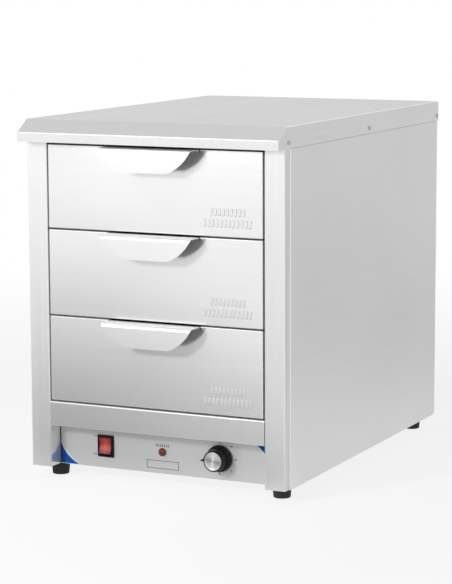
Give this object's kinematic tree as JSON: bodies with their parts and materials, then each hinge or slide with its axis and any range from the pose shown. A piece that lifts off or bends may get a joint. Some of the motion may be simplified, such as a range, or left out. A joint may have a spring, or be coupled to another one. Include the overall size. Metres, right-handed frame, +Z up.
{
  "type": "countertop warming drawer",
  "caption": "Stainless steel countertop warming cabinet with stacked pull-out drawers, flap handles, and a recessed panel with a rocker switch, pilot lamp and thermostat knob.",
  "frame": {"origin": "on the worktop under the centre of the bounding box", "axes": "+Z up; +X to the right seen from the front; +Y from the drawer fronts towards the rear"},
  "size_m": [0.4364, 0.681, 0.558],
  "materials": {
    "brushed_stainless": "brushed stainless steel, satin",
    "plain_stainless": "plain mill-finish stainless steel",
    "zinc_steel": "bright zinc-plated steel",
    "black_rubber": "matte black rubber",
    "black_plastic": "moulded black plastic",
    "spun_aluminium": "spun bright aluminium",
    "red_rocker": "translucent red plastic",
    "red_lens": "dark red lens",
    "mineral_wool": "mineral wool",
    "element_sheath": "heat-darkened sheath",
    "copper": "bare copper",
    "white_ceramic": "glazed ceramic",
    "wire_insulation": "brown wire insulation"
  },
  "bodies": {
    "cabinet": {"base_pan": "plain_stainless", "bottom_slide_outer_pair": "zinc_steel", "cable_gland": "black_plastic", "cavity_floor": "plain_stainless", "chassis_deck": "plain_stainless", "control_panel": "brushed_stainless", "element_saddles": "zinc_steel", "fascia_rail": "brushed_stainless", "foot_studs": "zinc_steel", "front_post_left": "brushed_stainless", "front_post_right": "brushed_stainless", "heating_element": "element_sheath", "inner_back": "plain_stainless", "inner_roof": "plain_stainless", "inner_wall_left": "plain_stainless", "inner_wall_right": "plain_stainless", "insulation_back": "mineral_wool", "insulation_left": "mineral_wool", "insulation_right": "mineral_wool", "insulation_top": "mineral_wool", "lid": "brushed_stainless", "lid_screws": "zinc_steel", "middle_slide_outer_pair": "zinc_steel", "over_temperature_cut_out": "black_plastic", "pilot_lamp_body": "black_plastic", "pilot_lamp_lens": "red_lens", "rear_panel": "brushed_stainless", "rear_panel_screws": "zinc_steel", "rubber_feet": "black_rubber", "side_cover_left": "brushed_stainless", "side_cover_right": "brushed_stainless", "switch_housing": "black_plastic", "terminal_block": "white_ceramic", "thermostat_body": "black_plastic", "thermostat_bulb": "copper", "top_rail": "plain_stainless", "top_slide_outer_pair": "zinc_steel", "wiring": "wire_insulation"},
    "bottom_drawer": {"bottom_drawer_front": "brushed_stainless", "bottom_drawer_box": "plain_stainless", "bottom_slide_inner_left": "zinc_steel", "bottom_slide_inner_right": "zinc_steel"},
    "bottom_slide": {"bottom_slide_intermediate_left": "zinc_steel", "bottom_slide_intermediate_right": "zinc_steel"},
    "middle_drawer": {"middle_drawer_front": "brushed_stainless", "middle_drawer_box": "plain_stainless", "middle_slide_inner_left": "zinc_steel", "middle_slide_inner_right": "zinc_steel"},
    "middle_slide": {"middle_slide_intermediate_left": "zinc_steel", "middle_slide_intermediate_right": "zinc_steel"},
    "top_drawer": {"top_drawer_front": "brushed_stainless", "top_drawer_box": "plain_stainless", "top_slide_inner_left": "zinc_steel", "top_slide_inner_right": "zinc_steel"},
    "top_slide": {"top_slide_intermediate_left": "zinc_steel", "top_slide_intermediate_right": "zinc_steel"},
    "thermostat_knob": {"knob": "black_plastic", "knob_cap": "spun_aluminium", "thermostat_shaft": "zinc_steel"},
    "rocker": {"switch_rocker": "red_rocker"}
  },
  "joints": [
    {"name": "bottom_drawer_slide", "type": "slide", "parent": "cabinet", "child": "bottom_drawer", "axis": [0, -1, 0], "range_m": [0, 0.5]},
    {"name": "bottom_slide_run", "type": "slide", "parent": "cabinet", "child": "bottom_slide", "axis": [0, -1, 0], "range_m": [0, 0.25]},
    {"name": "middle_drawer_slide", "type": "slide", "parent": "cabinet", "child": "middle_drawer", "axis": [0, -1, 0], "range_m": [0, 0.5]},
    {"name": "middle_slide_run", "type": "slide", "parent": "cabinet", "child": "middle_slide", "axis": [0, -1, 0], "range_m": [0, 0.25]},
    {"name": "top_drawer_slide", "type": "slide", "parent": "cabinet", "child": "top_drawer", "axis": [0, -1, 0], "range_m": [0, 0.5]},
    {"name": "top_slide_run", "type": "slide", "parent": "cabinet", "child": "top_slide", "axis": [0, -1, 0], "range_m": [0, 0.25]},
    {"name": "thermostat_turn", "type": "hinge", "parent": "cabinet", "child": "thermostat_knob", "pos_m": [0.094, -0.2821, 0.053], "axis": [0, 1, 0], "range_deg": [0, 270]},
    {"name": "rocker_tilt", "type": "hinge", "parent": "cabinet", "child": "rocker", "pos_m": [-0.10075, -0.2775, 0.05425], "axis": [1, 0, 0], "range_deg": [0, 12]}
  ],
  "couplings": [
    {"joint": "bottom_slide_run", "follows": "bottom_drawer_slide", "ratio": 0.5},
    {"joint": "middle_slide_run", "follows": "middle_drawer_slide", "ratio": 0.5},
    {"joint": "top_slide_run", "follows": "top_drawer_slide", "ratio": 0.5}
  ]
}
